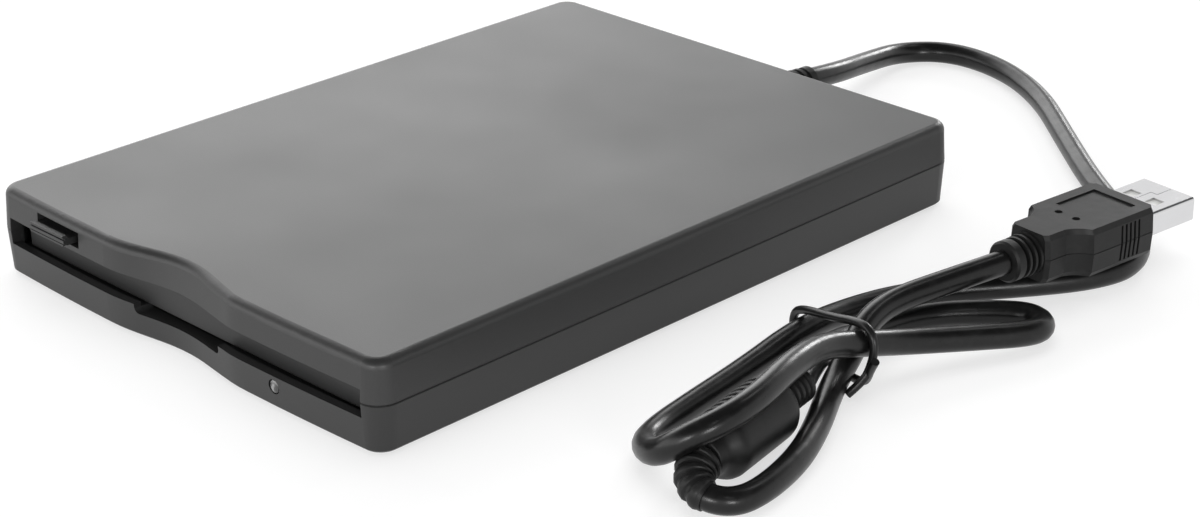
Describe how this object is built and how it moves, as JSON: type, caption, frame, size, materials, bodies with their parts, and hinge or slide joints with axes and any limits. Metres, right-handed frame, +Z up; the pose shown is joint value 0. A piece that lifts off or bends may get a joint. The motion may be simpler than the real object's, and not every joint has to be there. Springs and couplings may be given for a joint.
{
  "type": "external floppy disk drive",
  "caption": "Slim external drive for 3.5 inch floppy disks: flat moulded casing with a scooped front, slot, eject button and light, and a tied USB cord with ferrite choke and plug.",
  "frame": {"origin": "on the table under the drive, in the middle of the drive's own outline (button included, cord left out)", "axes": "+X to the right of someone who faces the slot, -Y out of the slot, +Z up; the cord leaves the back at +Y"},
  "size_m": [0.1556, 0.2058, 0.0166],
  "materials": {
    "black_plastic": "matte",
    "board": "solder mask green",
    "button": "satin",
    "case_lower": "fine textured satin",
    "case_upper": "fine textured satin",
    "chip": "matte",
    "cord": "soft gloss",
    "diode": "clear green",
    "door": "satin",
    "foot": "matte",
    "gold": "gold plated",
    "head": "polished ceramic",
    "lens": "clear",
    "mould": "satin",
    "ribbon": "satin",
    "rotor": "satin",
    "screw": "blackened",
    "sheet_steel": "zinc plated",
    "shell": "nickel plated",
    "steel": "ground",
    "tie": "gloss",
    "tongue": "satin",
    "wire": "satin"
  },
  "bodies": {
    "casing": {"bottom_cover": "case_lower", "top_cover": "case_upper", "rubber_feet": "foot", "led_lens": "lens", "activity_led": "diode", "drive_chassis": "sheet_steel", "drive_shield": "sheet_steel", "slide_springs": "steel", "spindle_stator": "board", "stepper_motor": "sheet_steel", "screw_bearing": "black_plastic", "guide_rod": "steel", "controller_board": "board", "board_chips": "chip", "sensor_switches": "black_plastic", "usb_board": "board", "usb_chips": "chip", "ribbon_cable": "ribbon", "cord_leads": "wire", "strain_relief": "mould", "ferrite_choke": "mould", "twist_tie": "tie", "plug_body": "mould", "plug_shell": "shell", "plug_tongue": "tongue", "plug_contacts": "gold", "cover_screws": "screw", "chassis_screws": "screw", "cord_tail": "cord", "cord_end": "cord"},
    "door": {"dust_door": "door"},
    "slide": {"slide_plate": "sheet_steel", "eject_button": "button"},
    "carrier": {"disk_carrier": "sheet_steel"},
    "lever": {"shutter_lever": "sheet_steel"},
    "spindle": {"spindle_rotor": "rotor", "spindle_shaft": "steel"},
    "screw": {"lead_screw": "steel"},
    "heads": {"head_carriage": "black_plastic", "lower_head": "head"},
    "upper_arm": {"upper_head_arm": "sheet_steel", "upper_head": "head"}
  },
  "joints": [
    {"name": "load_slide", "type": "slide", "parent": "casing", "child": "slide", "axis": [0, -1, 0], "range_m": [0, 0.005], "deforming": ["slide_springs"]},
    {"name": "carrier_drop", "type": "slide", "parent": "casing", "child": "carrier", "axis": [0, 0, -1], "range_m": [0, 0.0022]},
    {"name": "lever_swing", "type": "hinge", "parent": "carrier", "child": "lever", "pos_m": [0.035, 0.014, 0.0115], "axis": [0, 0, -1], "range_deg": [0, 30]},
    {"name": "upper_arm_drop", "type": "hinge", "parent": "heads", "child": "upper_arm", "pos_m": [0, 0.054, 0.012], "axis": [1, 0, 0], "range_deg": [0, 7.45]},
    {"name": "spindle_spin", "type": "hinge", "parent": "casing", "child": "spindle", "pos_m": [0, -0.0176, 0.0045], "axis": [0, 0, 1], "continuous": true},
    {"name": "head_seek", "type": "slide", "parent": "casing", "child": "heads", "axis": [0, -1, 0], "range_m": [0, 0.0148]},
    {"name": "lead_screw_spin", "type": "hinge", "parent": "casing", "child": "screw", "pos_m": [0.017, 0.04, 0.0086], "axis": [0, 1, 0], "range_deg": [0, 1776]},
    {"name": "door_swing", "type": "hinge", "parent": "casing", "child": "door", "pos_m": [0, -0.0665, 0.0108], "axis": [1, 0, 0], "range_deg": [0, 90], "stiffness_Nm_per_rad": 0.001, "springref_deg": -17.19}
  ],
  "couplings": [
    {"joint": "carrier_drop", "follows": "load_slide", "ratio": 0.44},
    {"joint": "lever_swing", "follows": "load_slide", "rad_per_m": 104.7},
    {"joint": "upper_arm_drop", "follows": "load_slide", "rad_per_m": 25.9},
    {"joint": "lead_screw_spin", "follows": "head_seek", "rad_per_m": 2094.4}
  ]
}
